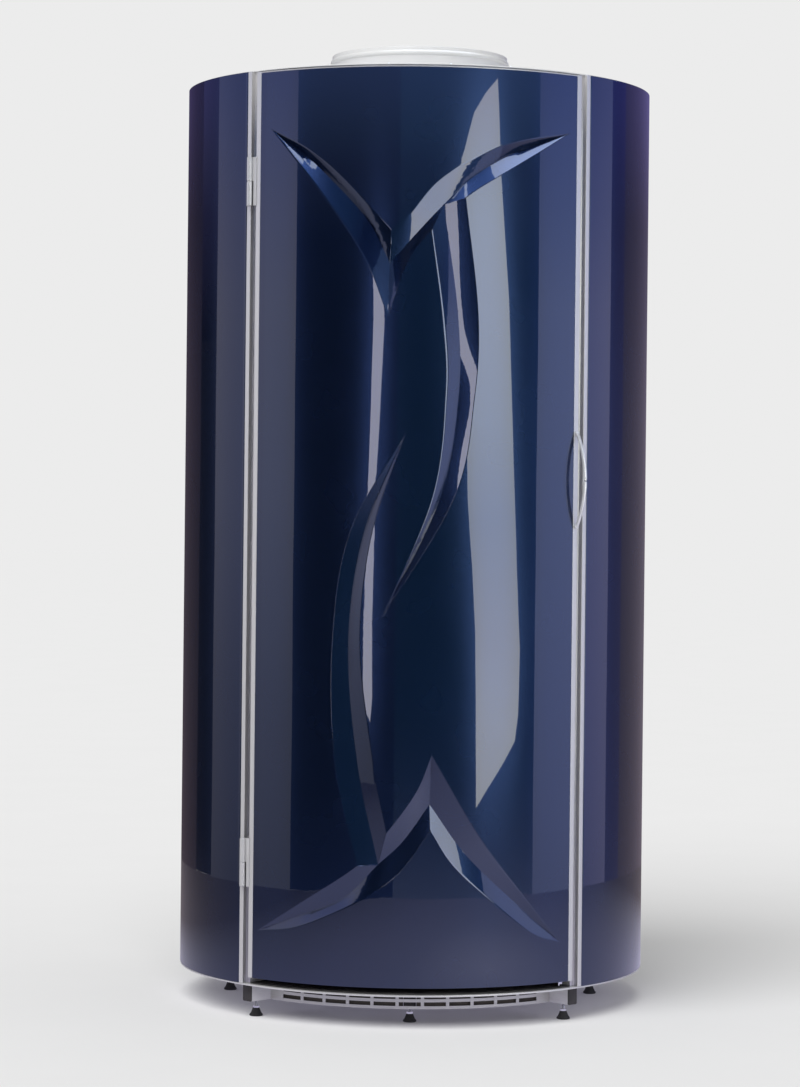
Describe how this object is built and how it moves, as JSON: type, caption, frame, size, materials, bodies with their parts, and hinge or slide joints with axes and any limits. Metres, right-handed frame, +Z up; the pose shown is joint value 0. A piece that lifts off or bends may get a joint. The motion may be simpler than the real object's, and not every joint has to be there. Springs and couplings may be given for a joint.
{
  "type": "stand-up tanning booth",
  "caption": "Round stand-up tanning booth: curved moulded door on side hinges, lamp walls behind clear shields, roof exhaust fan, levelling feet.",
  "frame": {"origin": "on the cabin's upright axis, at floor level under the feet", "axes": "+Z up along the cabin, -Y towards the door, +X towards the door's handle side seen from the front"},
  "size_m": [1.12, 1.12, 2.2752],
  "materials": {
    "navy_gloss": "metallic navy under a gloss clear coat",
    "satin_aluminium": "satin anodised",
    "painted_steel": "grey paint",
    "black_plastic": "matte black",
    "black_rubber": "matte black",
    "bright_steel": "polished",
    "white_enamel": "white enamel",
    "clear_acrylic": "clear",
    "lamp_glass": "white phosphor coating",
    "mirror_aluminium": "polished reflector sheet",
    "green_plastic": "gloss",
    "red_plastic": "gloss"
  },
  "bodies": {
    "cabin": {"chassis_frame": "satin_aluminium", "beam_cap_1": "black_plastic", "beam_cap_2": "black_plastic", "beam_cap_3": "black_plastic", "beam_cap_4": "black_plastic", "beam_cap_5": "black_plastic", "floor_deck": "satin_aluminium", "floor_mat": "black_rubber", "intake_grille": "satin_aluminium", "front_post_left": "satin_aluminium", "front_post_right": "satin_aluminium", "rear_post_left": "satin_aluminium", "rear_post_right": "satin_aluminium", "side_panel_left": "navy_gloss", "side_panel_right": "navy_gloss", "back_panel": "navy_gloss", "roof_plate": "white_enamel", "fan_cowl": "white_enamel", "ceiling_guard": "white_enamel", "fan_motor": "painted_steel", "inlet_gland": "black_plastic", "reflector_left": "mirror_aluminium", "reflector_back": "mirror_aluminium", "reflector_right": "mirror_aluminium", "lamp_bank_left": "lamp_glass", "lamp_bank_back": "lamp_glass", "lamp_bank_right": "lamp_glass", "ballast_rack_left": "painted_steel", "ballast_rack_back": "painted_steel", "ballast_rack_right": "painted_steel", "shield_left": "clear_acrylic", "shield_back": "clear_acrylic", "shield_right": "clear_acrylic", "hinge_post_upper": "satin_aluminium", "hinge_post_lower": "satin_aluminium", "control_panel": "black_plastic"},
    "door": {"door_skin": "navy_gloss", "door_trim_left": "satin_aluminium", "door_trim_right": "satin_aluminium", "door_top_rail": "satin_aluminium", "door_bottom_rail": "satin_aluminium", "door_reflector": "mirror_aluminium", "door_lamp_bank": "lamp_glass", "door_shield": "clear_acrylic", "door_handle": "bright_steel", "door_catch": "bright_steel", "hinge_door_upper": "satin_aluminium", "hinge_door_lower": "satin_aluminium"},
    "fan": {"fan_impeller": "black_plastic"},
    "start_push": {"start_button": "green_plastic"},
    "stop_push": {"stop_button": "red_plastic"},
    "leg_1": {"foot_1": "black_rubber"},
    "leg_2": {"foot_2": "black_rubber"},
    "leg_3": {"foot_3": "black_rubber"},
    "leg_4": {"foot_4": "black_rubber"},
    "leg_5": {"foot_5": "black_rubber"},
    "leg_6": {"foot_6": "black_rubber"},
    "leg_7": {"foot_7": "black_rubber"},
    "leg_8": {"foot_8": "black_rubber"}
  },
  "joints": [
    {"name": "door_hinge", "type": "hinge", "parent": "cabin", "child": "door", "pos_m": [-0.38953, -0.41201, 1.131], "axis": [0, 0, -1], "range_deg": [0, 115]},
    {"name": "fan_spin", "type": "hinge", "parent": "cabin", "child": "fan", "pos_m": [0, 0, 2.1995], "axis": [0, 0, 1], "continuous": true},
    {"name": "start_press", "type": "slide", "parent": "cabin", "child": "start_push", "axis": [0.7986, -0.6018, 0], "range_m": [0, 0.003], "stiffness_N_per_m": 400, "springref_m": -0.001},
    {"name": "stop_press", "type": "slide", "parent": "cabin", "child": "stop_push", "axis": [0.7986, -0.6018, 0], "range_m": [0, 0.003], "stiffness_N_per_m": 400, "springref_m": -0.001},
    {"name": "leg_1_level", "type": "slide", "parent": "cabin", "child": "leg_1", "axis": [0, 0, 1], "range_m": [-0.012, 0.01]},
    {"name": "leg_2_level", "type": "slide", "parent": "cabin", "child": "leg_2", "axis": [0, 0, 1], "range_m": [-0.012, 0.01]},
    {"name": "leg_3_level", "type": "slide", "parent": "cabin", "child": "leg_3", "axis": [0, 0, 1], "range_m": [-0.012, 0.01]},
    {"name": "leg_4_level", "type": "slide", "parent": "cabin", "child": "leg_4", "axis": [0, 0, 1], "range_m": [-0.012, 0.01]},
    {"name": "leg_5_level", "type": "slide", "parent": "cabin", "child": "leg_5", "axis": [0, 0, 1], "range_m": [-0.012, 0.01]},
    {"name": "leg_6_level", "type": "slide", "parent": "cabin", "child": "leg_6", "axis": [0, 0, 1], "range_m": [-0.012, 0.01]},
    {"name": "leg_7_level", "type": "slide", "parent": "cabin", "child": "leg_7", "axis": [0, 0, 1], "range_m": [-0.012, 0.01]},
    {"name": "leg_8_level", "type": "slide", "parent": "cabin", "child": "leg_8", "axis": [0, 0, 1], "range_m": [-0.012, 0.01]}
  ]
}
